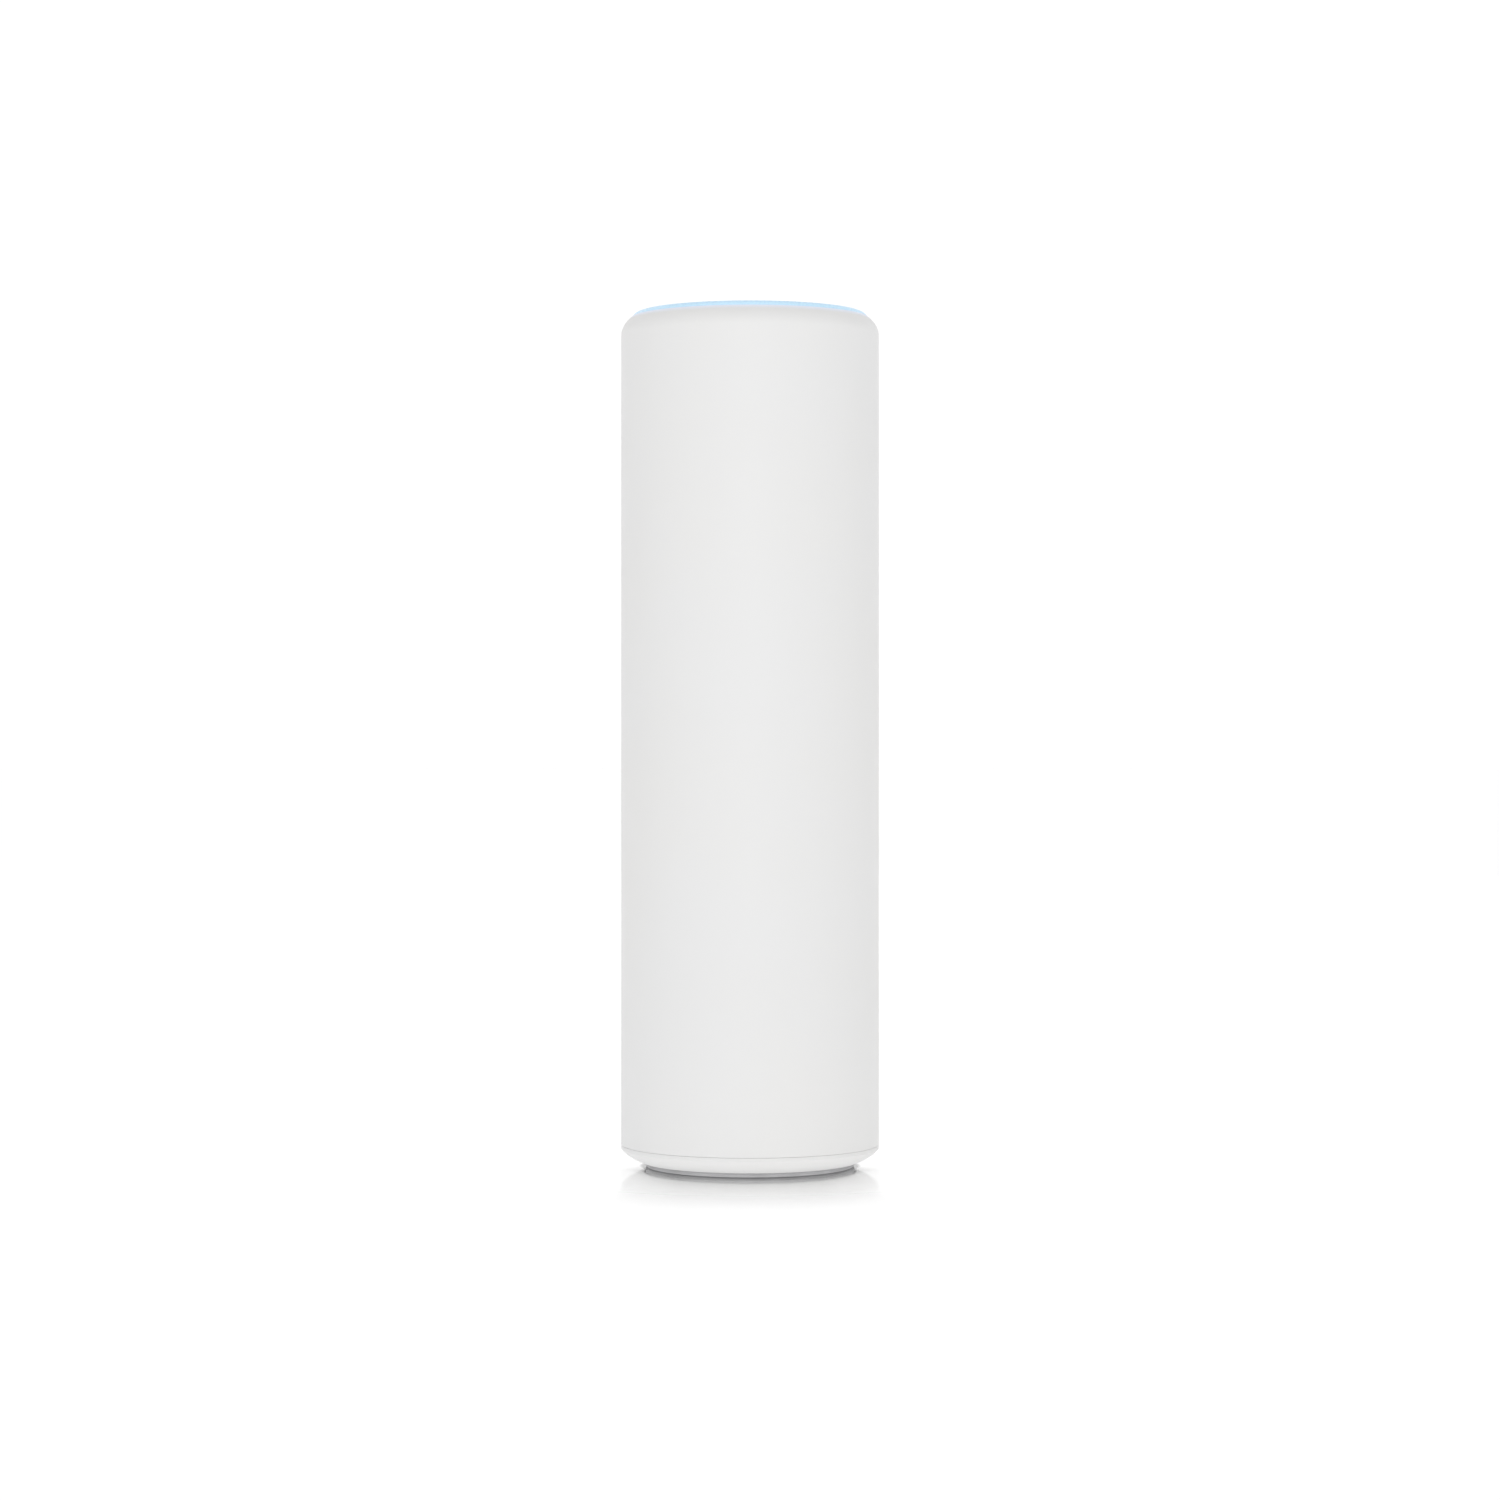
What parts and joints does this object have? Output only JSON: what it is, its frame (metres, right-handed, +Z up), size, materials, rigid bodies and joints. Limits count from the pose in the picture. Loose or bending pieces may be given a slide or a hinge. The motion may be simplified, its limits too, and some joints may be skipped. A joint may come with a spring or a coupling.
{
  "type": "mesh wifi node",
  "caption": "Slim white cylindrical mesh wifi node with a lit blue ring round its top edge, on a twist-off base with a rear cable outlet.",
  "frame": {"origin": "centre of the foot, on the surface the object stands on", "axes": "+Z up along the tower, -Y the plain side, +Y the side with the cable outlet"},
  "size_m": [0.0486, 0.0486, 0.1605],
  "materials": {
    "casing_plastic": "fine-textured matt white moulding",
    "reflector_plastic": "smooth bright white moulding",
    "light_guide": "opal light guide, lit pale blue",
    "foot_rubber": "matt grey silicone rubber",
    "inner_plastic": "plain black moulding",
    "button_plastic": "plain grey moulding",
    "circuit_board": "green solder mask over glass fibre",
    "led_resin": "clear resin over a white body",
    "chip_resin": "black moulded resin",
    "ferrite": "dark sintered ferrite",
    "thermal_pad": "soft filled silicone",
    "tin_plate": "tin-plated stamped sheet",
    "aluminium": "bare die-cast aluminium",
    "screw_steel": "zinc-plated steel",
    "gold_plate": "gold flash over copper alloy",
    "lead_jacket": "smooth black jacket",
    "flat_cable": "thin white polyester strip"
  },
  "bodies": {
    "base": {"base_dish": "casing_plastic", "foot_pad": "foot_rubber"},
    "seat": {"seat_ring": "foot_rubber"},
    "reset": {"reset_button": "button_plastic", "reset_plunger": "button_plastic"},
    "tower": {"antenna_2g_left": "gold_plate", "antenna_2g_right": "gold_plate", "antenna_5g_1": "gold_plate", "antenna_5g_2": "gold_plate", "antenna_5g_3": "gold_plate", "antenna_5g_4": "gold_plate", "antenna_carrier": "inner_plastic", "antenna_lead_1": "lead_jacket", "antenna_lead_2": "lead_jacket", "antenna_lead_3": "lead_jacket", "antenna_lead_4": "lead_jacket", "bulk_capacitor": "aluminium", "carrier_screw_1": "screw_steel", "carrier_screw_2": "screw_steel", "chassis": "inner_plastic", "chassis_screw_1": "screw_steel", "chassis_screw_2": "screw_steel", "ethernet_transformer": "chip_resin", "heat_sink": "aluminium", "heat_sink_screw_1": "screw_steel", "heat_sink_screw_2": "screw_steel", "heat_sink_screw_3": "screw_steel", "heat_sink_screw_4": "screw_steel", "jack_contacts": "gold_plate", "jack_housing": "inner_plastic", "jack_shield": "tin_plate", "led_1": "led_resin", "led_2": "led_resin", "led_3": "led_resin", "led_4": "led_resin", "led_5": "led_resin", "led_6": "led_resin", "led_board": "circuit_board", "led_cable": "flat_cable", "light_ring": "light_guide", "main_board": "circuit_board", "outer_shell": "casing_plastic", "panel_gasket": "foot_rubber", "panel_screw_1": "screw_steel", "panel_screw_2": "screw_steel", "panel_screw_3": "screw_steel", "poe_transformer": "ferrite", "port_panel": "casing_plastic", "power_inductor": "ferrite", "processor": "chip_resin", "processor_pad": "thermal_pad", "processor_shield": "tin_plate", "radio_2g": "chip_resin", "radio_2g_shield": "tin_plate", "radio_5g": "chip_resin", "radio_5g_shield": "tin_plate", "radio_pad": "thermal_pad", "reflector": "reflector_plastic", "reset_switch": "inner_plastic", "top_cap": "casing_plastic"}
  },
  "joints": [
    {"name": "tower_twist", "type": "hinge", "parent": "base", "child": "seat", "pos_m": [0, 0, 0], "axis": [0, 0, 1], "range_deg": [-20, 0]},
    {"name": "tower_lift", "type": "slide", "parent": "seat", "child": "tower", "axis": [0, 0, 1], "range_m": [0, 0.04]},
    {"name": "reset_press", "type": "slide", "parent": "tower", "child": "reset", "axis": [0, 0, 1], "range_m": [0, 0.0005], "stiffness_N_per_m": 1500, "springref_m": -0.0004}
  ]
}
